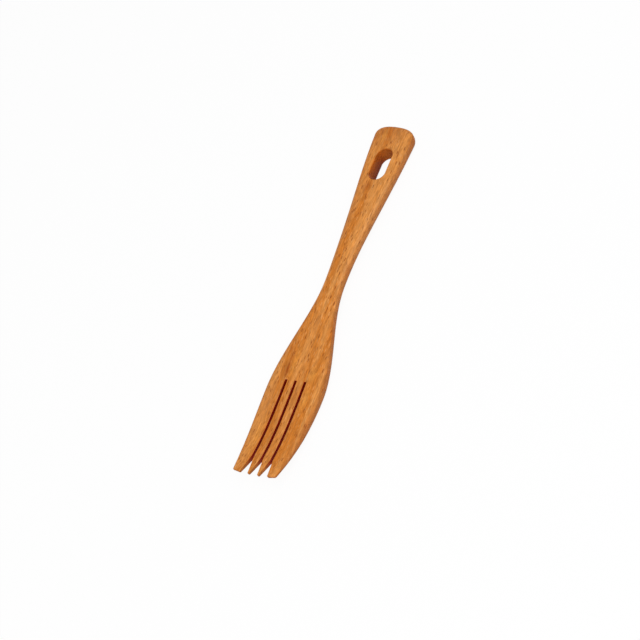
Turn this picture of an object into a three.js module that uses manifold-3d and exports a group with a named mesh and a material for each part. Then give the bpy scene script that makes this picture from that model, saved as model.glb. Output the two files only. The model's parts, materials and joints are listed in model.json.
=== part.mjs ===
// Wooden appetizer fork: one blank of oiled beech with a flat handle, a hanging eye, a bowed head
// and four tines. Sizes are in millimetres. The blank is shaped with y counted from the tips of the
// tines, x across it and z = 0 on the front face of the handle, then laid on its back on the ground.
import * as THREE from "three";
import { mergeVertices } from "three/addons/utils/BufferGeometryUtils.js";
import Module from "manifold-3d";

const wasm = await Module();
wasm.setup();

// Outline seen from the front.
const overallLength = 165;
const tipWidth = 19.1;
const headWidth = 25.4;
const headWidestAt = 37.3;
const neckWidth = 8;
const neckAt = 86.5;
const handleEndWidth = 19.2;
const handleEndFlare = 0.04; // half-width gained per millimetre where the end's rounding starts
const endRoundingLength = 5.6;
const endRoundingPower = 2.4; // exponent of the end's superellipse: 2 is an ellipse, more is squarer
const endSlant = 0.15; // how far the end falls back per millimetre towards +x
const endSlantFrom = 150;
const tipCornerRadius = 0.9;
const tipCrown = 0.5; // how far the outer tines' corners lie behind the middle of the tips' line

// Side view: height of the front face under the handle's front face, and thickness.
const tipDrop = 2.6;
const hollowDrop = 5.4;
const hollowAt = 22.5;
const handleStraightFrom = 108;
const tipThickness = 1.2;
const tipTaper = 0.12; // thickness gained per millimetre at the tips
const shoulderThickness = 5.9;
const shoulderAt = 45;
const handleThickness = 7;

// Rounding of the long edges on the handle: quarter ellipses that reach as far in on both faces,
// shallow in front and deep behind. They shrink with the thickness towards the tips.
const edgeReach = 3.2;
const frontEdgeDepth = 1.4;
const backEdgeDepth = 4.5;

// Saw kerfs between the tines, with a flared mouth that points the tines.
const tineCount = 4;
const tinePitch = 4.4;
const kerfWidth = 1.05;
const kerfLength = 41.5;
const mouthWidth = 3.8;
const mouthLength = 7.5;

// Hanging eye: a slot with round ends and rounded rims.
const eyeWidth = 7.5;
const eyeLength = 16.2;
const eyeToEnd = 12.6;
const eyeRimRadius = 0.6;

// A cut runs this far past the surface that it opens.
const cutClearance = 1;

// Points closer than this are one point.
const mergeDistance = 1e-4;

// How finely the curves are divided.
const sideSteps = 60;
const endSteps = 16;
const tipSteps = 4;
const cornerSteps = 4;
const edgeSteps = 6;
const eyeArcSteps = 14;

const endRoundingFrom = overallLength - endRoundingLength;
const quarterTurn = Math.PI / 2;

// Blend from 0 to 1 with level ends, over the run from start to stop.
function blend(at, start, stop) {
  return THREE.MathUtils.smoothstep(at, start, stop);
}

// Cubic from a value and slope at start to a value and slope at stop.
function cubic(at, start, stop, startValue, startSlope, stopValue, stopSlope) {
  const run = stop - start;
  const s = (at - start) / run;
  const rise = s * s * (3 - 2 * s);
  const lead = s * (1 - s) * (1 - s);
  const tail = s * s * (s - 1);
  return startValue + (stopValue - startValue) * rise + run * (startSlope * lead + stopSlope * tail);
}

// Half-width of the outline up to where the end's rounding starts.
function halfWidth(y) {
  if (y < headWidestAt) {
    const s = (headWidestAt - y) / headWidestAt;
    return (headWidth - (headWidth - tipWidth) * s * s) / 2;
  }
  if (y < neckAt) {
    return (headWidth + (neckWidth - headWidth) * blend(y, headWidestAt, neckAt)) / 2;
  }
  return cubic(y, neckAt, endRoundingFrom, neckWidth / 2, 0, handleEndWidth / 2, handleEndFlare);
}

// Height of the front face. The handle is level, the head is hollow and the tips rise again.
function frontHeight(y) {
  if (y < hollowAt) {
    const s = (hollowAt - y) / hollowAt;
    return -hollowDrop + (hollowDrop - tipDrop) * s * s;
  }
  return -hollowDrop * (1 - blend(y, hollowAt, handleStraightFrom));
}

// Thickness of the blank: even along the handle, thinner at the shoulder, fine at the tips.
function thickness(y) {
  if (y < shoulderAt) {
    return cubic(Math.max(y, 0), 0, shoulderAt, tipThickness, tipTaper, shoulderThickness, 0);
  }
  const rise = blend(y, shoulderAt, handleStraightFrom);
  return shoulderThickness + (handleThickness - shoulderThickness) * rise;
}

// Right half of the outline, from the middle of the tips' line to the middle of the handle's end.
function halfOutline() {
  const points = [];
  const sideFrom = tipCrown + tipCornerRadius;
  const corner = halfWidth(sideFrom) - tipCornerRadius;
  for (let i = 0; i < tipSteps; i++) {
    const s = i / tipSteps;
    points.push(new THREE.Vector2(corner * s, tipCrown * s * s));
  }
  for (let i = 0; i < cornerSteps; i++) {
    const turn = quarterTurn * (i / cornerSteps);
    const x = corner + tipCornerRadius * Math.sin(turn);
    points.push(new THREE.Vector2(x, sideFrom - tipCornerRadius * Math.cos(turn)));
  }
  for (let i = 0; i < sideSteps; i++) {
    const y = THREE.MathUtils.lerp(sideFrom, endRoundingFrom, i / sideSteps);
    points.push(new THREE.Vector2(halfWidth(y), y));
  }
  for (let i = 0; i <= endSteps; i++) {
    const turn = quarterTurn * (i / endSteps);
    const past = endRoundingLength * Math.sin(turn) ** (2 / endRoundingPower);
    const half = handleEndWidth / 2 + handleEndFlare * past;
    const x = i < endSteps ? half * Math.cos(turn) ** (2 / endRoundingPower) : 0;
    points.push(new THREE.Vector2(x, endRoundingFrom + past));
  }
  return points;
}

// Outward direction of the outline at one of its points.
function outward(points, index) {
  if (index === 0) return new THREE.Vector2(0, -1);
  if (index === points.length - 1) return new THREE.Vector2(0, 1);
  const along = points[index + 1].clone().sub(points[index - 1]).normalize();
  return new THREE.Vector2(along.y, -along.x);
}

// Edge of the blank from the front face to the back face, at one outline point: a shallow quarter
// ellipse in front, the wall, and a deep quarter ellipse behind.
function edgeProfile(point, direction) {
  const depth = thickness(point.y);
  const share = depth / handleThickness;
  const profile = [];
  for (const [edgeDepth, back] of [[frontEdgeDepth, false], [backEdgeDepth, true]]) {
    for (let i = 0; i <= edgeSteps; i++) {
      const turn = quarterTurn * ((back ? edgeSteps - i : i) / edgeSteps);
      const inset = edgeReach * share * (1 - Math.sin(turn));
      const sink = edgeDepth * share * (1 - Math.cos(turn));
      const x = Math.max(point.x - direction.x * inset, 0);
      const y = point.y - direction.y * inset;
      const level = (back ? depth - sink : sink) / depth;
      profile.push(new THREE.Vector3(x, y, frontHeight(y) - level * thickness(y)));
    }
  }
  return profile;
}

// The half loop mirrored to the other side, so that the loop runs right round.
function mirroredLoop(half) {
  const mirrored = half.map((p) => new THREE.Vector3(-p.x, p.y, p.z)).reverse();
  return [...half, ...mirrored];
}

// Solid of a closed geometry. Triangles that shrink to a line where a loop closes are dropped.
function solidOf(geometry) {
  geometry.deleteAttribute("normal");
  geometry.deleteAttribute("uv");
  const merged = mergeVertices(geometry, mergeDistance);
  const corners = [];
  for (let i = 0; i < merged.index.count; i += 3) {
    const [a, b, c] = merged.index.array.slice(i, i + 3);
    if (a !== b && b !== c && c !== a) corners.push(a, b, c);
  }
  return new wasm.Manifold(
    new wasm.Mesh({
      numProp: 3,
      vertProperties: new Float32Array(merged.attributes.position.array),
      triVerts: new Uint32Array(corners),
    }),
  );
}

// Skin over a row of loops, closed at both ends by rungs from one side of the loop to the other.
function loft(loops) {
  const size = loops[0].length;
  const index = [];
  const quad = (a, b, c, d) => index.push(a, b, c, a, c, d);
  for (let i = 0; i + 1 < loops.length; i++) {
    for (let j = 0; j < size; j++) {
      const next = (j + 1) % size;
      quad(i * size + j, i * size + next, (i + 1) * size + next, (i + 1) * size + j);
    }
  }
  const last = (loops.length - 1) * size;
  for (let j = 0; j + 1 < size / 2; j++) {
    quad(j, size - 1 - j, size - 2 - j, j + 1);
    quad(last + j, last + j + 1, last + size - 2 - j, last + size - 1 - j);
  }
  return solidOf(new THREE.BufferGeometry().setFromPoints(loops.flat()).setIndex(index));
}

// The loop with the slant of the handle's end: past the slant's start, its right side falls back.
function slanted(loop) {
  return loop.map((p) => p.setY(p.y - endSlant * p.x * blend(p.y, endSlantFrom, overallLength)));
}

// The blank before its cuts, lofted over the edge profiles from the tips to the handle's end.
function blankSolid() {
  const outline = halfOutline();
  const loops = outline.map((point, i) => mirroredLoop(edgeProfile(point, outward(outline, i))));
  return loft(loops.map(slanted));
}

// One kerf with its mouth, cut right through the head. The mouth's sides end in round corners
// that give each inner tine a round point.
function kerfSolid(x) {
  const kerfHalf = kerfWidth / 2;
  const tineHalf = tinePitch / 2;
  const lean = Math.atan2((mouthWidth - kerfWidth) / 2, mouthLength);
  const pointHalf = (tinePitch - mouthWidth) / 2;
  const pointRadius = (pointHalf * Math.cos(lean)) / (1 - Math.sin(lean));
  const cut = new THREE.Shape();
  cut.moveTo(-kerfHalf, kerfLength);
  cut.lineTo(-kerfHalf, mouthLength);
  cut.absarc(-tineHalf, pointRadius, pointRadius, -lean, -quarterTurn, true);
  cut.lineTo(-tineHalf, -cutClearance);
  cut.lineTo(tineHalf, -cutClearance);
  cut.absarc(tineHalf, pointRadius, pointRadius, -quarterTurn, lean - 2 * quarterTurn, true);
  cut.lineTo(kerfHalf, mouthLength);
  cut.lineTo(kerfHalf, kerfLength);
  const depth = hollowDrop + handleThickness + 2 * cutClearance;
  const slab = new THREE.ExtrudeGeometry(cut, { depth, bevelEnabled: false, curveSegments: edgeSteps });
  return solidOf(slab.translate(x, 0, cutClearance - depth));
}

// The slot of the hanging eye as loops from above the front face to below the back face, wider
// at both faces so that the rims come out rounded.
function eyeSolid() {
  const radius = eyeWidth / 2;
  const top = overallLength - eyeToEnd - radius;
  const bottom = overallLength - eyeToEnd - eyeLength + radius;
  const loopAt = (z, widen) => {
    const half = [];
    for (let i = 0; i <= eyeArcSteps; i++) {
      const turn = quarterTurn * ((2 * i) / eyeArcSteps - 1);
      const y = (turn < 0 ? bottom : top) + (radius + widen) * Math.sin(turn);
      half.push(new THREE.Vector3(Math.max((radius + widen) * Math.cos(turn), 0), y, z));
    }
    return mirroredLoop(half);
  };
  const loops = [loopAt(-handleThickness - cutClearance, eyeRimRadius)];
  for (let i = 0; i <= edgeSteps; i++) {
    const turn = quarterTurn * (i / edgeSteps);
    const rise = eyeRimRadius * (1 - Math.cos(turn));
    loops.push(loopAt(-handleThickness + rise, eyeRimRadius * (1 - Math.sin(turn))));
  }
  for (let i = 0; i <= edgeSteps; i++) {
    const turn = quarterTurn * (i / edgeSteps);
    const sink = eyeRimRadius * (1 - Math.sin(turn));
    loops.push(loopAt(-sink, eyeRimRadius * (1 - Math.cos(turn))));
  }
  loops.push(loopAt(cutClearance, eyeRimRadius));
  return loft(loops);
}

// The blank with its kerfs and eye cut, as a geometry.
function forkGeometry() {
  let fork = blankSolid().subtract(eyeSolid());
  for (let gap = 1; gap < tineCount; gap++) {
    fork = fork.subtract(kerfSolid((gap - tineCount / 2) * tinePitch));
  }
  const mesh = fork.getMesh();
  return new THREE.BufferGeometry()
    .setAttribute("position", new THREE.BufferAttribute(mesh.vertProperties, 3))
    .setIndex(new THREE.BufferAttribute(mesh.triVerts, 1));
}

// On the ground the fork touches with its belly and with its heel, where the back of the handle's
// end starts to round. This is the slope of the line under both.
function restingSlope() {
  const heel = overallLength - edgeReach;
  let slope = 0;
  for (let i = 0; i < sideSteps; i++) {
    const y = (neckAt * i) / sideSteps;
    const fall = -handleThickness - (frontHeight(y) - thickness(y));
    slope = Math.max(slope, fall / (heel - y));
  }
  return slope;
}

const geometry = forkGeometry();
geometry.rotateX(-Math.atan(restingSlope()));
geometry.computeBoundingBox();
const box = geometry.boundingBox;
geometry.translate(-(box.min.x + box.max.x) / 2, -(box.min.y + box.max.y) / 2, -box.min.z);
geometry.computeVertexNormals();

const oiledBeech = new THREE.MeshStandardMaterial({ color: 0xcd8443, roughness: 0.55, metalness: 0 });
const forkBody = new THREE.Mesh(geometry, oiledBeech);
forkBody.name = "fork_body";

const group = new THREE.Group();
group.name = "wooden_appetizer_fork";
group.add(forkBody);

export default group;
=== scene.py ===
"""A wooden appetizer fork on a pale studio floor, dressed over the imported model.

The fork is one blank of oiled beech. An edge profile is carried round its plan outline and round
its hanging eye, and the front and back faces between those edges are heights over the plan.
Sizes of the fork are in millimetres and turn into metres when its mesh is written.
"""

import json
import logging
import math
from collections.abc import Callable
from dataclasses import dataclass, field, replace
from enum import Enum

import bpy
import numpy as np
from mathutils import Matrix, Vector
from mathutils.geometry import delaunay_2d_cdt
from numpy.typing import NDArray


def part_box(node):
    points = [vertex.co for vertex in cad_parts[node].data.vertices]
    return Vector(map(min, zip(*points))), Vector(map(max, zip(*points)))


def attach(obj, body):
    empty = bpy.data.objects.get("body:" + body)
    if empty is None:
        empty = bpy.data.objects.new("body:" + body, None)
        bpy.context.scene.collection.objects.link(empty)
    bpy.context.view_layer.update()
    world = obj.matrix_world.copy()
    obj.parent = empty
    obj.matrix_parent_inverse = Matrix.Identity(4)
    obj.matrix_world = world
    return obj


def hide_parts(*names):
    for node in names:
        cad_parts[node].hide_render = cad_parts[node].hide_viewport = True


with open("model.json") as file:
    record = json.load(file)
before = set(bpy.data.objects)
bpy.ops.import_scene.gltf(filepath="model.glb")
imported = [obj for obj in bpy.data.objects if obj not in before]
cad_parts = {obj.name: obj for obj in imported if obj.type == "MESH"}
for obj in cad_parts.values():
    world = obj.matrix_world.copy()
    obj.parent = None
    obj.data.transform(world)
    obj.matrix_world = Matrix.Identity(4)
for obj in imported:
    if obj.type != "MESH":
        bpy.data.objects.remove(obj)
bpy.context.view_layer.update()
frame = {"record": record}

log = logging.getLogger("fork")

Floats = NDArray[np.float64]
Ints = NDArray[np.int64]
Socket = bpy.types.NodeSocket
Pair = tuple[float, float]
Triple = tuple[float, float, float]
Colour = tuple[float, float, float, float]
Value = Socket | float | tuple[float, ...]

MM = 0.001
QUARTER_TURN = math.pi / 2
HULL_TRIANGLES = 0  # the kind of output that makes delaunay_2d_cdt fill the points' convex hull


class Face(Enum):
    """The broad faces of the blank, with the way each looks along z."""

    FRONT = 1
    BACK = -1

    @property
    def row(self) -> int:
        """The row of an edge surface that lies next to this face."""
        return 0 if self is Face.FRONT else -1


class Mark(Enum):
    """What the mesh tells its finish about each point, from 0 to 1.

    LOW grows down the walls and BROAD marks the walls where the fork is wide, both
    for painted shade. WORN marks the front edges of the grip, paler from wear and
    from a painted highlight, SAWN the kerfs for their painted shade, BORED the eye, whose
    walls it darkens in part as painted shade, DEEP the lower part of the eye's long walls for
    painted shade, and END_GRAIN the walls that look along the fork.
    """

    LOW = "low"
    BROAD = "broad"
    WORN = "worn"
    SAWN = "sawn"
    BORED = "bored"
    DEEP = "deep"
    END_GRAIN = "end_grain"


def paint(code: str) -> Colour:
    """Turn a colour written as six hexadecimal digits into linear light, by the sRGB curve.

    Args:
        code: Red, green and blue as they look on a screen, two digits each.

    Returns:
        Linear red, green and blue, and an alpha of 1.
    """
    screen = np.frombuffer(bytes.fromhex(code), np.uint8) / 255
    linear = np.where(screen <= 0.04045, screen / 12.92, ((screen + 0.055) / 1.055) ** 2.4)
    return (*linear.tolist(), 1.0)


def smooth_step(at: Floats, start: float, stop: float) -> Floats:
    """Rise from 0 at start to 1 at stop by the cubic 3s^2 - 2s^3, level at both ends."""
    s = np.clip((at - start) / (stop - start), 0, 1)
    return s * s * (3 - 2 * s)


def cubic(at: Floats, start: Triple, stop: Triple) -> Floats:
    """Follow the cubic that has a given value and slope at each end.

    Args:
        at: Places where the cubic is wanted.
        start: Place, value and slope of the first end.
        stop: Place, value and slope of the second end.

    Returns:
        The cubic's values.
    """
    run = stop[0] - start[0]
    s = np.clip((at - start[0]) / run, 0, 1)
    rise = s * s * (3 - 2 * s)
    lead = s * (1 - s) ** 2
    tail = s * s * (s - 1)
    return start[1] + (stop[1] - start[1]) * rise + run * (start[2] * lead + stop[2] * tail)


def slope(height: Callable[[Floats], Floats], at: Floats) -> Floats:
    """Slope of a height function, from its values a hundredth of a millimetre to both sides."""
    step = 0.01
    return (height(at + step) - height(at - step)) / (2 * step)


def unit(vectors: Floats) -> Floats:
    """Vectors along the last axis, each divided by its length."""
    return vectors / np.linalg.norm(vectors, axis=-1, keepdims=True)


def line(start: Pair, stop: Pair, steps: int) -> Floats:
    """Points at even steps on a straight line, without its last point."""
    share = np.arange(steps)[:, None] / steps
    return np.array(start) + (np.array(stop) - np.array(start)) * share


def arc(centre: Pair, radius: float, start: float, stop: float, steps: int) -> Floats:
    """Points at even angles on a circle, from the start angle to just before the stop angle."""
    turn = start + (stop - start) * np.arange(steps) / steps
    return np.array(centre) + radius * np.stack([np.cos(turn), np.sin(turn)], -1)


def inside(points: Floats, ring: Floats) -> NDArray[np.bool_]:
    """Tell which plan points lie inside a closed ring.

    A point is inside when a line from it towards +x crosses the ring an odd number of times.

    Args:
        points: Plan points, one per row.
        ring: Points of the ring in order.

    Returns:
        True for each point that is inside.
    """
    x, y = points[:, :1], points[:, 1:]
    x0, y0 = ring.T
    x1, y1 = np.roll(ring, -1, axis=0).T
    spans = (y0 > y) != (y1 > y)
    rise = np.where(y1 == y0, 1.0, y1 - y0)
    crossed = spans & (x < x0 + (x1 - x0) * (y - y0) / rise)
    return crossed.sum(axis=1) % 2 == 1


def quads(numbers: Ints) -> Ints:
    """Quads between neighbouring rows of numbered points, where each row closes on itself."""
    beside = np.roll(numbers, -1, axis=1)
    return np.stack([numbers[:-1], numbers[1:], beside[1:], beside[:-1]], -1).reshape(-1, 4)


@dataclass(frozen=True)
class Run:
    """A stretch of a plan outline, with the sizes of its edges and its share of painted kerf shade at
    each point.

    The material lies to the left of the way the points run. Each edge is a quarter ellipse, with
    a reach along its face, which both edges share, and a depth of its own.
    """

    points: Floats
    reach: Floats
    front_depth: Floats
    back_depth: Floats
    sawn: Floats

    @classmethod
    def eased(cls, points: Floats, radius: float) -> "Run":
        """Run with one small radius on both edges and no painted kerf shade."""
        even = np.full(len(points), radius)
        return cls(points, even, even, even, np.zeros(len(points)))

    @classmethod
    def joined(cls, runs: list["Run"]) -> "Run":
        """Runs one after the other as one run."""
        return cls(*(np.concatenate(parts) for parts in zip(*(vars(run).values() for run in runs))))

    def softened(self, radius: float, share: Floats) -> "Run":
        """Run whose edge sizes go from a radius at a share of 0 to its own at a share of 1."""
        sizes = (self.reach, self.front_depth, self.back_depth)
        return Run(self.points, *(radius + (size - radius) * share for size in sizes), self.sawn)

    def outward(self) -> Floats:
        """Direction away from the material, square to the mean of the steps to both neighbours."""
        ahead = unit(np.roll(self.points, -1, axis=0) - self.points)
        along = unit(ahead + np.roll(ahead, 1, axis=0))
        return np.stack([along[:, 1], -along[:, 0]], -1)


@dataclass(frozen=True)
class Band:
    """Edge surface carried round one outline: rows from the front face to the back face."""

    points: Floats
    normals: Floats
    marks: dict[Mark, Floats]

    def ring(self, face: Face) -> Floats:
        """Plan points of the band's row next to a face."""
        return self.points[face.row, :, :2]

    def numbers(self, start: int) -> Ints:
        """Numbers that the band's points have in a mesh, counted from a start."""
        rows, columns, _ = self.points.shape
        return start + np.arange(rows * columns).reshape(rows, columns)


@dataclass(frozen=True)
class Blank:
    """Outline and side view of the fork as functions of y, counted from the tips of the tines."""

    length: float = 165.0
    tip_width: float = 19.1
    head_width: float = 25.4
    head_widest_at: float = 37.3
    neck_width: float = 8.0
    neck_at: float = 86.5
    end_width: float = 19.2
    end_flare: float = 0.04
    end_rounding: float = 5.6
    end_power: float = 2.4
    end_slant: float = 0.15
    slant_from: float = 150.0
    tip_drop: float = 2.6
    hollow_drop: float = 5.4
    hollow_at: float = 22.5
    straight_from: float = 108.0
    tip_thickness: float = 1.2
    tip_taper: float = 0.12
    shoulder_thickness: float = 5.9
    shoulder_at: float = 45.0
    handle_thickness: float = 7.0
    edge_reach: float = 3.2
    front_edge_depth: float = 1.4
    back_edge_depth: float = 4.5

    @property
    def side_to(self) -> float:
        """Place where the rounding of the handle's end starts."""
        return self.length - self.end_rounding

    def half_width(self, y: Floats) -> Floats:
        """Half-width: a parabola on the head, a smooth step to the neck, a cubic up the handle."""
        narrowing = (self.head_width - self.tip_width) * (1 - y / self.head_widest_at) ** 2
        to_neck = smooth_step(y, self.head_widest_at, self.neck_at)
        waist = (self.head_width - self.neck_width) * to_neck
        start = (self.neck_at, self.neck_width / 2, 0.0)
        stop = (self.side_to, self.end_width / 2, self.end_flare)
        on_head = y < self.head_widest_at
        on_neck = y < self.neck_at
        wide = [(self.head_width - narrowing) / 2, (self.head_width - waist) / 2]
        return np.select([on_head, on_neck], wide, cubic(y, start, stop))

    def slanted(self, points: Floats) -> Floats:
        """Plan points with the end's slant: past its start, the handle falls back towards +x."""
        x, y = points.T
        fall = self.end_slant * x * smooth_step(y, self.slant_from, self.length)
        return np.stack([x, y - fall], -1)

    def front_height(self, y: Floats) -> Floats:
        """Height of the front face: level on the handle, hollow on the head, rising at the tips."""
        rise = (self.hollow_drop - self.tip_drop) * (1 - y / self.hollow_at) ** 2
        fall = self.hollow_drop * (1 - smooth_step(y, self.hollow_at, self.straight_from))
        return np.where(y < self.hollow_at, rise - self.hollow_drop, -fall)

    def thickness(self, y: Floats) -> Floats:
        """Thickness: a cubic from the tips to the shoulder, then a smooth step to the handle."""
        start = (0.0, self.tip_thickness, self.tip_taper)
        stop = (self.shoulder_at, self.shoulder_thickness, 0.0)
        gain = self.handle_thickness - self.shoulder_thickness
        rise = gain * smooth_step(y, self.shoulder_at, self.straight_from)
        return np.where(y < self.shoulder_at, cubic(y, start, stop), self.shoulder_thickness + rise)

    def back_height(self, y: Floats) -> Floats:
        """Height of the back face, the thickness under the front face."""
        return self.front_height(y) - self.thickness(y)

    def height(self, face: Face) -> Callable[[Floats], Floats]:
        """Height function of a face."""
        return self.front_height if face is Face.FRONT else self.back_height

    def normal(self, y: Floats, face: Face) -> Floats:
        """Direction that a face looks in: square to its slope along y."""
        rise = slope(self.height(face), y)
        level = np.ones_like(rise)
        return unit(face.value * np.stack([np.zeros_like(rise), -rise, level], -1))

    def edged(self, points: Floats) -> Run:
        """Run with the blank's own edge rounding, which shrinks with the thickness."""
        share = self.thickness(points[:, 1]) / self.handle_thickness
        sizes = (self.edge_reach, self.front_edge_depth, self.back_edge_depth)
        return Run(points, *(size * share for size in sizes), np.zeros(len(points)))


@dataclass(frozen=True)
class Tines:
    """Tines parted by saw kerfs, whose flared mouths point the inner tines."""

    count: int = 4
    pitch: float = 4.4
    kerf_width: float = 1.05
    kerf_length: float = 41.5
    root_radius: float = 0.2
    mouth_width: float = 3.8
    mouth_length: float = 7.5
    easing: float = 0.12
    crown: float = 0.5
    corner_radius: float = 0.9
    # Over this stretch from the tips the kerfs' painted shade grows to full.
    kerf_shade_from: float = 1.5
    kerf_shade_to: float = 9.5
    root_line_steps: int = 2
    root_arc_steps: int = 4
    wall_steps: int = 44
    mouth_steps: int = 14
    tip_steps: int = 7

    def half_gap(self, tip_y: float) -> Floats:
        """Right half of one gap, in plan: the kerf's root, its wall, its mouth and a round tip.

        Args:
            tip_y: How far the tine's tip lies behind the front of the tips' line.

        Returns:
            Points from the middle of the root to the tip of the tine, both included, with x
            counted from the middle of the gap.
        """
        kerf_half = self.kerf_width / 2
        flare = (self.mouth_width - self.kerf_width) / 2
        lean = math.atan2(flare, self.mouth_length)
        tip_half = self.pitch / 2 - self.mouth_width / 2 + flare * tip_y / self.mouth_length
        tip_radius = tip_half * math.cos(lean) / (1 - math.sin(lean))
        tip_centre = (self.pitch / 2, tip_y + tip_radius)
        root_side = kerf_half - self.root_radius
        root_end = self.kerf_length - self.root_radius
        mouth_top = (kerf_half, self.mouth_length)
        root_middle = (0.0, self.kerf_length)
        root_corner = (root_side, self.kerf_length)
        root_centre = (root_side, root_end)
        tip_arc = arc(tip_centre, tip_radius, lean - math.pi, -QUARTER_TURN, self.tip_steps)
        return np.concatenate(
            [
                line(root_middle, root_corner, self.root_line_steps),
                arc(root_centre, self.root_radius, QUARTER_TURN, 0.0, self.root_arc_steps),
                line((kerf_half, root_end), mouth_top, self.wall_steps),
                line(mouth_top, tuple(tip_arc[0]), self.mouth_steps),
                tip_arc,
                np.array([[self.pitch / 2, tip_y]]),
            ]
        )

    def tip_line(self, x: Floats, corner: float) -> Floats:
        """The tips' line: a parabola that falls back by the crown at the outer corners."""
        return self.crown * (x / corner) ** 2

    def gap(self, middle: float, corner: float) -> Run:
        """One gap from the tip of its left tine to the tip of its right tine, without the last.

        Args:
            middle: Place of the gap's middle across the fork.
            corner: Half-width at which the outer corners of the tips start.

        Returns:
            The gap with its lightly eased edges.
        """
        tips = self.tip_line(middle + np.array([-1, 1]) * self.pitch / 2, corner)
        left = self.half_gap(tips[0])[::-1] * (-1, 1)
        right = self.half_gap(tips[1])[1:-1]
        run = Run.eased(np.concatenate([left, right]) + (middle, 0), self.easing)
        # Painted shade on the kerf walls, none at the tips.
        return replace(run, sawn=smooth_step(run.points[:, 1], self.kerf_shade_from, self.kerf_shade_to))


@dataclass(frozen=True)
class Eye:
    """Hanging eye: a slot with round ends and rounded rims near the handle's end."""

    width: float = 7.5
    length: float = 16.2
    to_end: float = 12.6
    rim_radius: float = 0.6
    arc_steps: int = 36
    side_steps: int = 10

    def outline(self, handle_end: float) -> Run:
        """The slot's outline, run backwards so that the material lies to its left.

        Args:
            handle_end: Place of the handle's end along the fork.

        Returns:
            The closed run of the slot.
        """
        radius = self.width / 2
        top = handle_end - self.to_end - radius
        bottom = handle_end - self.to_end - self.length + radius
        points = np.concatenate(
            [
                arc((0.0, top), radius, 0.0, math.pi, self.arc_steps),
                line((-radius, top), (-radius, bottom), self.side_steps),
                arc((0.0, bottom), radius, math.pi, 2 * math.pi, self.arc_steps),
                line((radius, bottom), (radius, top), self.side_steps),
            ]
        )[::-1]
        return Run.eased(points, self.rim_radius)


class Board:
    """A node tree with one short call for each kind of node that the finishes use."""

    def __init__(self, tree: bpy.types.NodeTree) -> None:
        """Empty the tree."""
        self.tree = tree
        tree.nodes.clear()

    def add(self, kind: str, **settings: str | bool) -> bpy.types.Node:
        """Add a node of a kind and set its properties."""
        node = self.tree.nodes.new(kind)
        for name, value in settings.items():
            setattr(node, name, value)
        return node

    def feed(self, socket: Socket, value: Value) -> None:
        """Link a socket to another one, or set it to a constant."""
        if isinstance(value, bpy.types.NodeSocket):
            self.tree.links.new(value, socket)
        else:
            socket.default_value = value

    def calculate(self, operation: str, *values: Value) -> Socket:
        """Result of a Math node."""
        node = self.add("ShaderNodeMath", operation=operation)
        for socket, value in zip(node.inputs, values):
            self.feed(socket, value)
        return node.outputs[0]

    def reckon(self, operation: str, *values: Value) -> bpy.types.Node:
        """Vector Math node with its inputs fed in order."""
        node = self.add("ShaderNodeVectorMath", operation=operation)
        for socket, value in zip(node.inputs, values):
            self.feed(socket, value)
        return node

    def blend(self, share: Value, first: Value, second: Value, how: str = "MIX") -> Socket:
        """Mix of two colours by a share from 0 to 1, in one of the ways of a Mix node."""
        node = self.add("ShaderNodeMix", data_type="RGBA", blend_type=how)
        sockets = {socket.identifier: socket for socket in node.inputs}
        self.feed(sockets["Factor_Float"], share)
        self.feed(sockets["A_Color"], first)
        self.feed(sockets["B_Color"], second)
        return next(socket for socket in node.outputs if socket.identifier == "Result_Color")

    def ramp(
        self, value: Value, low: float, high: float, to_low: float = 0.0, to_high: float = 1.0
    ) -> Socket:
        """Smooth rise from one value to another while the input goes from low to high."""
        node = self.add("ShaderNodeMapRange", interpolation_type="SMOOTHSTEP")
        for socket, number in zip(node.inputs, (value, low, high, to_low, to_high)):
            self.feed(socket, number)
        return node.outputs[0]

    def stretch(self, place: Socket, cell: Triple, shift: float) -> Socket:
        """Place counted in cells of the given size in millimetres, moved by a shift."""
        per_metre = tuple(1 / (size * MM) for size in cell)
        return self.reckon("MULTIPLY_ADD", place, per_metre, (shift, shift, shift)).outputs[0]

    def noise(self, place: Socket, detail: float, roughness: float = 0.5) -> Socket:
        """Soft noise with one swell per cell."""
        node = self.add("ShaderNodeTexNoise")
        self.feed(node.inputs["Vector"], place)
        self.feed(node.inputs["Scale"], 1.0)
        self.feed(node.inputs["Detail"], detail)
        self.feed(node.inputs["Roughness"], roughness)
        return node.outputs[0]

    def cells(self, place: Socket) -> tuple[Socket, Socket]:
        """Distance to the nearest of one random point per cell, and that point's random number."""
        node = self.add("ShaderNodeTexVoronoi")
        self.feed(node.inputs["Vector"], place)
        self.feed(node.inputs["Scale"], 1.0)
        apart = self.add("ShaderNodeSeparateColor")
        self.feed(apart.inputs[0], node.outputs["Color"])
        return node.outputs["Distance"], apart.outputs[0]

    def mark(self, mark: Mark) -> Socket:
        """What the mesh says about each point."""
        return self.add("ShaderNodeAttribute", attribute_name=mark.value).outputs["Fac"]


@dataclass(frozen=True)
class Streak:
    """A streak in the wood, darker or paler, round one place in millimetres of the row frame."""

    x: float
    y: float
    half_width: float
    half_length: float
    strength: float

    def share(self, board: Board, place: Socket) -> Socket:
        """How much of the streak shows: its strength in the middle, fading to 0 on an ellipse."""
        middle = (-self.x / self.half_width, -self.y / self.half_length, 0.0)
        scale = (1 / (self.half_width * MM), 1 / (self.half_length * MM), 0.0)
        ellipse = board.reckon("MULTIPLY_ADD", place, scale, middle).outputs[0]
        away = board.reckon("LENGTH", ellipse).outputs["Value"]
        return board.ramp(away, 0.0, 1.0, self.strength, 0.0)


@dataclass(frozen=True)
class Swell:
    """Soft noise whose swells have a given size, in millimetres."""

    cell: Triple
    seed: float
    detail: float = 2.0
    roughness: float = 0.5

    def value(self, board: Board, place: Socket) -> Socket:
        """The noise, from about 0.2 to 0.8."""
        return board.noise(board.stretch(place, self.cell, self.seed), self.detail, self.roughness)


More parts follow.
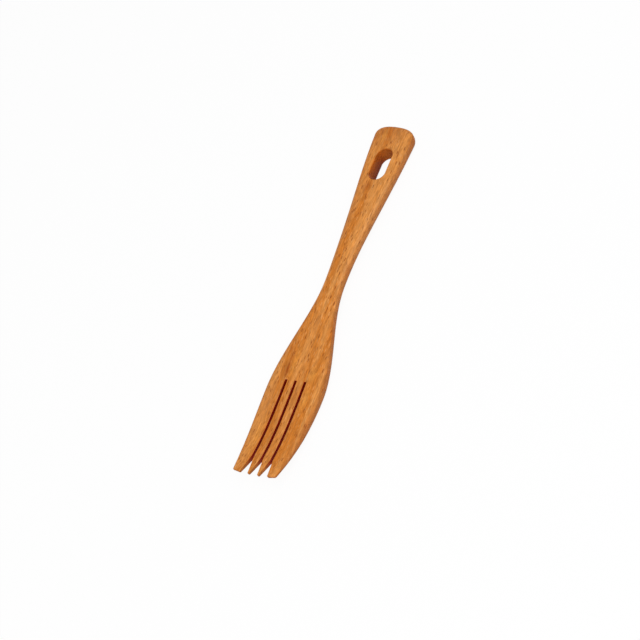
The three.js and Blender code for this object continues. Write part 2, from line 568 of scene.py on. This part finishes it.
@dataclass(frozen=True)
class Dashes:
    """Short dashes along the grain, at most one in each cell, in millimetres.

    Each dash has a random size. It is full from its middle to the core and fades out at the edge,
    both counted in cells and multiplied by that size.
    """

    cell: Triple
    seed: float
    core: float
    edge: float
    strength: float

    def share(self, board: Board, place: Socket) -> Socket:
        """How much of the dashes shows: the strength at their cores, 0 past their edges."""
        away, size = board.cells(board.stretch(place, self.cell, self.seed))
        reach = board.calculate("DIVIDE", away, size)
        return board.ramp(reach, self.core, self.edge, self.strength, 0.0)


@dataclass(frozen=True)
class Tint:
    """Colour that one of the mesh's marks gives, from a low mark to a full one."""

    mark: Mark
    colour: Colour
    low: float
    strength: float

    def over(self, board: Board, colour: Socket) -> Socket:
        """The colour with this tint laid over it."""
        share = board.ramp(board.mark(self.mark), self.low, 1.0, 0.0, self.strength)
        return board.blend(share, colour, self.colour)


@dataclass(frozen=True)
class OiledBeech:
    """Beech under a satin oil: bands, fibres, ray flecks, streaks, painted shade on the sides, and a
    grip pale from wear and a painted highlight.
    """

    name: str = "oiled_beech"
    honey: Colour = paint("e09449")
    amber: Colour = paint("d17c2b")
    ray: Colour = paint("8a3e0a")
    silk: Colour = paint("efb070")
    dark: Colour = paint("a04c0a")
    pale: Colour = paint("f6a84c")
    roughness: float = 0.56
    roughness_change: float = 0.1
    specular: float = 0.14
    bump: float = 0.3
    bump_depth: float = 0.05
    bands: Swell = Swell((3.2, 75.0, 5.0), 3.1)
    fibres: Swell = Swell((0.3, 7.0, 0.5), 11.7, 3.0, 0.6)
    strands: Swell = Swell((0.55, 3.2, 0.8), 23.9, 2.0)
    drift: Swell = Swell((20.0, 45.0, 20.0), 5.3, 1.0)
    sway: float = 2.4
    rays: Dashes = Dashes((0.58, 3.7, 1.0), 1.9, 0.2, 0.4, 0.9)
    silks: Dashes = Dashes((0.45, 2.8, 1.0), 7.3, 0.25, 0.5, 0.5)
    ray_depth: float = 0.5
    # Noise values that count as low and high, and the lightness that they give.
    band_swing: Pair = (0.35, 0.65)
    swing: Pair = (0.3, 0.7)
    fibre_light: Pair = (0.86, 1.1)
    strand_light: Pair = (0.82, 1.14)
    # Laid over the wood in this order, after the streaks.
    tints: tuple[Tint, ...] = (
        # Painted shade, darker down the walls towards the back face.
        Tint(Mark.LOW, paint("9c5c26"), 0.0, 1.0),
        # Painted shade on the walls where the fork is wide.
        Tint(Mark.BROAD, paint("a4581a"), 0.0, 0.63),
        # Darkens the eye's walls, in part as painted shade inside the hole.
        Tint(Mark.BORED, paint("c8660e"), 0.4, 0.9),
        # Painted shade, darker down the eye's long walls.
        Tint(Mark.DEEP, paint("6a1400"), 0.0, 0.85),
        Tint(Mark.END_GRAIN, paint("b86a26"), 0.3, 0.5),
        # Painted shade deep in the kerfs, dark red-brown.
        Tint(Mark.SAWN, paint("901402"), 0.0, 1.0),
        # Paler front edges of the grip: partly wear, partly a painted highlight on the rounding.
        Tint(Mark.WORN, paint("e0a468"), 0.3, 0.36),
    )
    # Where the wood is darker or paler than its bands make it.
    dark_streaks: tuple[Streak, ...] = (
        Streak(-3.0, -58.0, 16.0, 50.0, 0.13),
        Streak(-2.0, 79.0, 14.0, 12.0, 0.4),
        Streak(-4.2, 27.0, 2.4, 36.0, 0.45),
        Streak(-8.8, -50.0, 2.6, 13.0, 0.25),
        Streak(-5.6, -37.0, 1.0, 6.0, 1.0),
        Streak(-5.6, -31.0, 0.9, 4.5, 0.5),
        Streak(-6.9, -37.0, 1.8, 6.0, 0.25),
        Streak(-7.1, -28.0, 1.5, 3.5, 0.45),
        Streak(2.75, -37.6, 0.35, 2.4, 0.55),
        Streak(2.1, -48.0, 1.4, 8.0, 0.5),
        Streak(0.2, -16.0, 2.2, 8.0, 0.25),
        Streak(-1.7, 49.7, 2.7, 4.5, 0.6),
        Streak(6.45, 66.9, 0.4, 2.6, 0.75),
        Streak(8.9, 56.5, 0.35, 2.0, 0.7),
        Streak(-5.4, 79.0, 1.5, 3.0, 0.35),
        Streak(-8.2, 76.0, 1.6, 3.0, 0.4),
        Streak(10.2, -70.0, 1.2, 14.0, 0.35),
        Streak(11.6, -60.0, 1.3, 14.0, 0.42),
        Streak(4.0, 9.0, 0.8, 5.0, 0.4),
        Streak(9.5, 74.0, 1.6, 4.5, 0.35),
    )
    pale_streaks: tuple[Streak, ...] = (
        Streak(6.6, -38.0, 3.0, 5.5, 0.45),
        Streak(7.1, -48.0, 2.0, 8.0, 0.5),
        Streak(-3.2, -33.7, 1.8, 11.0, 0.4),
        Streak(-7.0, -66.6, 2.4, 13.0, 0.35),
        Streak(-3.8, 76.6, 1.8, 6.0, 0.4),
    )

    def grain(self, board: Board, place: Socket) -> tuple[Socket, Socket, Socket]:
        """Colour of the wood, and what the grain does to its lightness and to its surface.

        Args:
            board: Node tree that the nodes go into.
            place: Place in the wood, with the grain along y.

        Returns:
            The colour, a lightness of about 1, and a height from about 0 to 1 for the bump.
        """
        bands = board.ramp(self.bands.value(board, place), *self.band_swing)
        fibres = self.fibres.value(board, place)
        strands = self.strands.value(board, place)
        rays = self.rays.share(board, place)
        colour = board.blend(bands, self.honey, self.amber)
        colour = board.blend(self.silks.share(board, place), colour, self.silk)
        colour = board.blend(rays, colour, self.ray)
        fibre_light = board.ramp(fibres, *self.swing, *self.fibre_light)
        strand_light = board.ramp(strands, *self.swing, *self.strand_light)
        lightness = board.calculate("MULTIPLY", fibre_light, strand_light)
        height = board.calculate("MULTIPLY_ADD", rays, -self.ray_depth, fibres)
        return colour, lightness, height

    def material(self) -> bpy.types.Material:
        """Make the material."""
        made = bpy.data.materials.new(self.name)
        made.use_nodes = True
        board = Board(made.node_tree)
        place = board.add("ShaderNodeTexCoord").outputs["Object"]
        drift = self.drift.value(board, place)
        sway = self.sway * MM
        shift = board.add("ShaderNodeCombineXYZ")
        board.feed(shift.inputs["X"], board.calculate("MULTIPLY_ADD", drift, sway, -sway / 2))
        swayed = board.reckon("ADD", place, shift.outputs[0]).outputs[0]
        colour, lightness, height = self.grain(board, swayed)
        for streak in self.dark_streaks:
            colour = board.blend(streak.share(board, place), colour, self.dark)
        for streak in self.pale_streaks:
            colour = board.blend(streak.share(board, place), colour, self.pale)
        for tint in self.tints:
            colour = tint.over(board, colour)
        colour = board.blend(1.0, colour, lightness, "MULTIPLY")
        change = self.roughness_change
        rough = board.calculate("MULTIPLY_ADD", height, change, self.roughness - change / 2)
        shader = board.add("ShaderNodeBsdfPrincipled")
        board.feed(shader.inputs["Base Color"], colour)
        board.feed(shader.inputs["Roughness"], rough)
        board.feed(shader.inputs["Specular IOR Level"], self.specular)
        bump = board.add("ShaderNodeBump")
        board.feed(bump.inputs["Strength"], self.bump)
        board.feed(bump.inputs["Distance"], self.bump_depth * MM)
        board.feed(bump.inputs["Height"], height)
        board.feed(shader.inputs["Normal"], bump.outputs[0])
        output = board.add("ShaderNodeOutputMaterial")
        board.feed(output.inputs["Surface"], shader.outputs[0])
        return made


@dataclass(frozen=True)
class Fork:
    """The fork: one body with its tines and its hanging eye."""

    node: str = "fork_body"
    body: str = "root"
    slot: str = "oiled_beech"
    level_mount: str = "handle_front"
    blank: Blank = field(default_factory=Blank)
    tines: Tines = field(default_factory=Tines)
    eye: Eye = field(default_factory=Eye)
    finish: OiledBeech = field(default_factory=OiledBeech)
    # Steps along the outline, round an edge and down a wall.
    side_steps: int = 190
    end_steps: int = 64
    tip_steps: int = 8
    corner_steps: int = 8
    round_steps: int = 8
    wall_steps: int = 4
    # Spacing of the faces' points, their least distance from the edges, and what counts as none.
    across: float = 1.1
    along: float = 1.5
    clear: float = 0.5
    merge: float = 1e-7
    # Half-widths over which the walls take painted shade where the fork is wide, and where and by how
    # much that shade fades on the handle.
    broad_shade_half: Pair = (3.4, 7.0)
    end_from: Pair = (95.0, 118.0)
    end_paler: float = 0.38
    # Places over which the grip starts and ends.
    grip_start: Pair = (66.0, 86.0)
    grip_end: Pair = (128.0, 150.0)

    def side(self, start: float) -> Floats:
        """Right side from the tips' corner to the end's rounding, without the last point."""
        y = np.linspace(start, self.blank.side_to, self.side_steps, endpoint=False)
        return np.stack([self.blank.half_width(y), y], -1)

    def end(self) -> Floats:
        """Handle's end: a superellipse, a little flared, from the right side to the left."""
        turn = np.linspace(0, math.pi, self.end_steps, endpoint=False)
        power = 2 / self.blank.end_power
        past = self.blank.end_rounding * np.sin(turn) ** power
        half = self.blank.end_width / 2 + self.blank.end_flare * past
        x = half * np.sign(np.cos(turn)) * np.abs(np.cos(turn)) ** power
        return np.stack([x, self.blank.side_to + past], -1)

    def tip_run(self, start: float, stop: float, corner: float) -> Run:
        """Line of an outer tine's tip, whose rounding grows from the gap to the outer corner.

        Args:
            start: Place across the fork where the run starts.
            stop: Place across the fork before which it ends.
            corner: Half-width at which the outer corners start.

        Returns:
            The run of the tip.
        """
        x = np.linspace(start, stop, self.tip_steps, endpoint=False)
        edged = self.blank.edged(np.stack([x, self.tines.tip_line(x, corner)], -1))
        inner = (self.tines.count - 1) / 2 * self.tines.pitch
        return edged.softened(self.tines.easing, smooth_step(np.abs(x), inner, corner))

    def outline(self) -> Run:
        """Closed outline: right side, end, left side, tips and gaps, counter-clockwise in plan."""
        tines = self.tines
        side_from = tines.crown + tines.corner_radius
        corner = float(self.blank.half_width(np.array(side_from))) - tines.corner_radius
        right = self.side(side_from)
        left_top = np.array([[-self.blank.end_width / 2, self.blank.side_to]])
        left = np.concatenate([left_top, right[:0:-1] * (-1, 1)])
        radius, steps = tines.corner_radius, self.corner_steps
        left_corner = arc((-corner, side_from), radius, math.pi, 3 * QUARTER_TURN, steps)
        right_corner = arc((corner, side_from), radius, -QUARTER_TURN, 0.0, steps)
        sides_and_end = np.concatenate([right, self.end(), left, left_corner])
        middles = (np.arange(1, tines.count) - tines.count / 2) * tines.pitch
        outer_tip = (tines.count - 1) / 2 * tines.pitch
        runs = [
            self.blank.edged(self.blank.slanted(sides_and_end)),
            self.tip_run(-corner, -outer_tip, corner),
            *[tines.gap(float(middle), corner) for middle in middles],
            self.tip_run(outer_tip, corner, corner),
            self.blank.edged(right_corner),
        ]
        return Run.joined(runs)

    def band(self, run: Run, bored: float) -> Band:
        """Carry the edge profile round an outline.

        The profile is a quarter ellipse in front, a straight wall and a quarter ellipse behind.
        At turn t of an ellipse of reach a and depth b, the point lies a(1 - sin t) inside the
        outline and b(1 - cos t) under the face, and it looks along a cos t of the face's direction
        plus b sin t of the outward direction. Depths are shares of the thickness, so they follow
        the faces.

        Args:
            run: The outline with its edge sizes.
            bored: 1 for the wall of a bored hole, 0 for any other.

        Returns:
            The edge surface with its normals and marks.
        """
        turn = np.linspace(0, QUARTER_TURN, self.round_steps + 1)[:, None]
        turn_back = turn[::-1]
        share = np.linspace(0, 1, self.wall_steps + 1)[1:-1, None]
        thick = self.blank.thickness(run.points[:, 1])
        front_sink = run.front_depth * (1 - np.cos(turn))
        back_sink = thick - run.back_depth * (1 - np.cos(turn_back))
        wall_sink = front_sink[-1] + (back_sink[0] - front_sink[-1]) * share
        flush = np.zeros_like(wall_sink)
        edge_inset = run.reach * (1 - np.sin(turn))
        level = np.concatenate([front_sink, wall_sink, back_sink]) / thick
        inset = np.concatenate([edge_inset, flush, edge_inset[::-1]])[..., None]
        outward = run.outward()
        plan = run.points - outward * inset
        y = plan[..., 1]
        z = self.blank.front_height(y) - level * self.blank.thickness(y)
        front_turn = np.arctan2(run.front_depth * np.sin(turn), run.reach * np.cos(turn))
        back_turn = np.arctan2(run.back_depth * np.sin(turn_back), run.reach * np.cos(turn_back))
        to_front = np.concatenate([np.cos(front_turn), flush, np.zeros_like(back_sink)])
        to_back = np.concatenate([np.zeros_like(front_sink), flush, np.cos(back_turn)])
        to_wall = np.concatenate([np.sin(front_turn), flush + 1, np.sin(back_turn)])
        walls = np.concatenate([outward, np.zeros((len(outward), 1))], -1)
        faces = to_front[..., None] * self.blank.normal(y, Face.FRONT)
        faces = faces + to_back[..., None] * self.blank.normal(y, Face.BACK)
        normals = unit(faces + to_wall[..., None] * walls)
        place = run.points[:, 1]
        # Painted shade on the walls where the fork is wide, fading on the handle towards its end.
        broad = smooth_step(self.blank.half_width(place), *self.broad_shade_half)
        broad = broad * (1 - self.end_paler * smooth_step(place, *self.end_from))
        # The grip's front edges, paler from wear and from a painted highlight.
        gripped = smooth_step(place, *self.grip_start) * (1 - smooth_step(place, *self.grip_end))
        # The sine of twice the turn is 1 half-way round the front edge and 0 at both its ends.
        front_edge = 2 * to_wall * to_front
        marks = {
            # Painted shade that grows down the walls.
            Mark.LOW: to_wall * level,
            Mark.BROAD: to_wall * broad,
            Mark.WORN: front_edge * gripped,
            Mark.SAWN: to_wall * run.sawn,
            Mark.BORED: to_wall * bored,
            # Painted shade down the eye's long walls.
            Mark.DEEP: np.abs(normals[..., 0]) * level * bored,
            Mark.END_GRAIN: np.abs(normals[..., 1]) * to_wall,
        }
        return Band(np.concatenate([plan, z[..., None]], -1), normals, marks)

    def sheet(self, face: Face, rings: list[Floats]) -> tuple[Floats, Ints]:
        """Plan triangles of a face between the outer ring and the eye's ring.

        A staggered grid of points fills the face, and Delaunay triangles join it to the rings.

        Args:
            face: Which face it is.
            rings: Plan points of the outer ring and of the eye's ring.

        Returns:
            The grid's points, and triangles that count through both rings and then the grid.
        """
        low, high = rings[0].min(axis=0), rings[0].max(axis=0)
        columns = np.arange(low[0], high[0], self.across)
        rows = np.arange(low[1], high[1], self.along)
        x, y = np.meshgrid(columns, rows)
        x[::2] += self.across / 2
        grid = np.stack([x.ravel(), y.ravel()], -1)
        grid = grid[inside(grid, rings[0]) & ~inside(grid, rings[1])]
        edges = np.concatenate(rings)
        gaps = np.linalg.norm(grid[:, None] - edges[None], axis=-1).min(axis=1)
        grid = grid[gaps > self.clear]
        points = np.concatenate([edges, grid])
        outer, eye = len(rings[0]), len(rings[1])
        first = np.arange(outer + eye)
        following = np.concatenate([np.roll(first[:outer], -1), np.roll(first[outer:], -1)])
        borders = np.stack([first, following], -1).tolist()
        corners = [Vector(point) for point in points.tolist()]
        made = delaunay_2d_cdt(corners, borders, [], HULL_TRIANGLES, self.merge, False)
        if len(made[0]) != len(points):
            raise ValueError(f"the {face.name.lower()} face has points that coincide")
        triangles = np.array(made[2], np.int64)
        middles = points[triangles].mean(axis=1)
        triangles = triangles[inside(middles, rings[0]) & ~inside(middles, rings[1])]
        a, b, c = points[triangles].transpose(1, 0, 2)
        turned = (b - a)[:, 0] * (c - a)[:, 1] - (b - a)[:, 1] * (c - a)[:, 0]
        wrong = turned * face.value < 0
        triangles[wrong] = triangles[wrong][:, ::-1]
        return grid, triangles

    def placed(self, points: Floats, normals: Floats) -> tuple[Floats, Floats]:
        """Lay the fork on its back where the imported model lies.

        The fork turns about x by the slope of the handle's front mount, and its box's middle and
        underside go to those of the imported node.

        Args:
            points: Points of the blank in millimetres.
            normals: Directions of the blank.

        Returns:
            Points in metres and directions, both in the row frame.
        """
        mounts = {mount["name"]: mount for mount in frame["record"]["mounts"]}
        _, ahead, up = mounts[self.level_mount]["axis"]
        turn = np.array([[1, 0, 0], [0, up, ahead], [0, -ahead, up]])
        laid = points @ turn.T * MM
        low, high = (np.array(corner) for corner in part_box(self.node))
        middle = (laid.min(axis=0) + laid.max(axis=0)) / 2
        target = (low + high) / 2
        move = target - middle
        move[2] = low[2] - laid[:, 2].min()
        return laid + move, normals @ turn.T

    def mesh(self) -> bpy.types.Mesh:
        """Mesh of the whole fork in the row frame, with its directions and its marks."""
        bands = [
            self.band(self.outline(), bored=0.0),
            self.band(self.eye.outline(self.blank.length), bored=1.0),
        ]
        points = [band.points.reshape(-1, 3) for band in bands]
        normals = [band.normals.reshape(-1, 3) for band in bands]
        starts = np.cumsum([0] + [len(part) for part in points])
        numbers = [band.numbers(int(start)) for band, start in zip(bands, starts)]
        polygons = [polygon for part in numbers for polygon in quads(part).tolist()]
        total = edge_total = int(starts[-1])
        for face in Face:
            grid, triangles = self.sheet(face, [band.ring(face) for band in bands])
            in_grid = total + np.arange(len(grid))
            in_mesh = np.concatenate([*(part[face.row] for part in numbers), in_grid])
            polygons += in_mesh[triangles].tolist()
            points.append(np.column_stack([grid, self.blank.height(face)(grid[:, 1])]))
            normals.append(self.blank.normal(grid[:, 1], face))
            total += len(grid)
        places, directions = self.placed(np.concatenate(points), np.concatenate(normals))
        mesh = bpy.data.meshes.new("beech_fork")
        mesh.from_pydata(places.tolist(), [], polygons)
        mesh.shade_smooth()
        mesh.normals_split_custom_set_from_vertices(directions.tolist())
        for mark in Mark:
            values = np.zeros(total, np.float32)
            values[:edge_total] = np.concatenate([band.marks[mark].ravel() for band in bands])
            mesh.attributes.new(mark.value, "FLOAT", "POINT").data.foreach_set("value", values)
        return mesh

    def build(self) -> bpy.types.Object:
        """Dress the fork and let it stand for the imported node."""
        mesh = self.mesh()
        mesh.materials.append(self.finish.material())
        piece = bpy.data.objects.new("beech_fork", mesh)
        bpy.context.scene.collection.objects.link(piece)
        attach(piece, self.body)
        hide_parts(self.node)
        return piece


@dataclass(frozen=True)
class PhotoCamera:
    """Camera at the photograph's angle, aimed at a point of the fork, in metres and degrees."""

    azimuth: float = 54.06
    elevation: float = 48.35
    roll: float = -39.69
    distance: float = 0.47236
    aim: Triple = (-0.00139, -0.01287, 0.004)
    lens: float = 67.0
    sensor: float = 36.0
    clip_ratio: float = 100.0

    def build(self) -> bpy.types.Object:
        """Make the camera and give it to the scene."""
        turn = math.radians(self.azimuth)
        height = math.radians(self.elevation)
        roll = math.radians(self.roll)
        level = Vector((math.cos(turn), math.sin(turn), 0))
        flat = Vector((math.sin(turn), -math.cos(turn), 0))
        back = flat * math.cos(height) + Vector((0, 0, math.sin(height)))
        upright = back.cross(level)
        right = level * math.cos(roll) + upright * math.sin(roll)
        up = back.cross(right)
        data = bpy.data.cameras.new("photo_camera")
        data.lens = self.lens
        data.sensor_width = self.sensor
        data.clip_start = self.distance / self.clip_ratio
        data.clip_end = self.distance * self.clip_ratio
        camera = bpy.data.objects.new("photo_camera", data)
        turned = Matrix((right, up, back)).transposed().to_4x4()
        camera.matrix_world = Matrix.Translation(Vector(self.aim) + back * self.distance) @ turned
        bpy.context.scene.collection.objects.link(camera)
        bpy.context.scene.camera = camera
        return camera


@dataclass(frozen=True)
class Studio:
    """Pale floor, even surrounding light and one large soft lamp at the upper right, in metres."""

    floor_half: float = 4.0
    floor_colour: Colour = paint("fcfcfc")
    floor_white: float = 0.93
    surround: float = 0.45
    lamp_size: float = 0.8
    lamp_place: Triple = (0.4, -0.2, 0.8)
    lamp_watts: float = 5.5

    def seen(self, board: Board) -> Socket:
        """1 for what the camera sees directly, in a mirror or through glass, otherwise 0."""
        path = board.add("ShaderNodeLightPath").outputs
        direct = board.calculate("MAXIMUM", path["Is Camera Ray"], path["Is Glossy Ray"])
        return board.calculate("MAXIMUM", direct, path["Is Transmission Ray"])

    def floor(self) -> bpy.types.Object:
        """Floor that looks white and still takes a shadow: part plain paint, part white glow."""
        half = self.floor_half
        mesh = bpy.data.meshes.new("floor")
        corners = [(-half, -half, 0), (half, -half, 0), (half, half, 0), (-half, half, 0)]
        mesh.from_pydata(corners, [], [(0, 1, 2, 3)])
        material = bpy.data.materials.new("floor_paint")
        material.use_nodes = True
        board = Board(material.node_tree)
        paint_layer = board.add("ShaderNodeBsdfDiffuse")
        board.feed(paint_layer.inputs["Color"], self.floor_colour)
        glow = board.add("ShaderNodeEmission")
        mixed = board.add("ShaderNodeMixShader")
        board.feed(mixed.inputs[0], board.calculate("MULTIPLY", self.seen(board), self.floor_white))
        board.feed(mixed.inputs[1], paint_layer.outputs[0])
        board.feed(mixed.inputs[2], glow.outputs[0])
        output = board.add("ShaderNodeOutputMaterial")
        board.feed(output.inputs["Surface"], mixed.outputs[0])
        mesh.materials.append(material)
        floor = bpy.data.objects.new("floor", mesh)
        bpy.context.scene.collection.objects.link(floor)
        return floor

    def sky(self) -> None:
        """Even light from all round, white where it is seen."""
        world = bpy.data.worlds.new("studio")
        world.use_nodes = True
        board = Board(world.node_tree)
        light = board.add("ShaderNodeBackground")
        board.feed(light.inputs["Color"], (1.0, 1.0, 1.0, 1.0))
        unseen = self.surround
        strength = board.calculate("MULTIPLY_ADD", self.seen(board), 1 - unseen, unseen)
        board.feed(light.inputs["Strength"], strength)
        output = board.add("ShaderNodeOutputWorld")
        board.feed(output.inputs["Surface"], light.outputs[0])
        bpy.context.scene.world = world

    def lamp(self) -> bpy.types.Object:
        """Large soft lamp that looks at the fork."""
        data = bpy.data.lights.new("softbox", "AREA")
        data.size = self.lamp_size
        data.energy = self.lamp_watts
        lamp = bpy.data.objects.new("softbox", data)
        lamp.location = self.lamp_place
        lamp.rotation_euler = (-Vector(self.lamp_place)).to_track_quat("-Z", "Y").to_euler()
        bpy.context.scene.collection.objects.link(lamp)
        return lamp

    def build(self) -> None:
        """Set the stage."""
        bpy.context.scene.view_settings.view_transform = "Standard"
        self.sky()
        for piece in (self.floor(), self.lamp()):
            log.info("stage %s", piece.name)


def main() -> None:
    """Build the camera, the stage and the fork in order."""
    logging.basicConfig(level=logging.INFO, format="%(message)s")
    log.info("camera %s", PhotoCamera().build().name)
    Studio().build()
    piece = Fork().build()
    log.info("piece %s with %d faces", piece.name, len(piece.data.polygons))


if __name__ == "__main__":
    main()
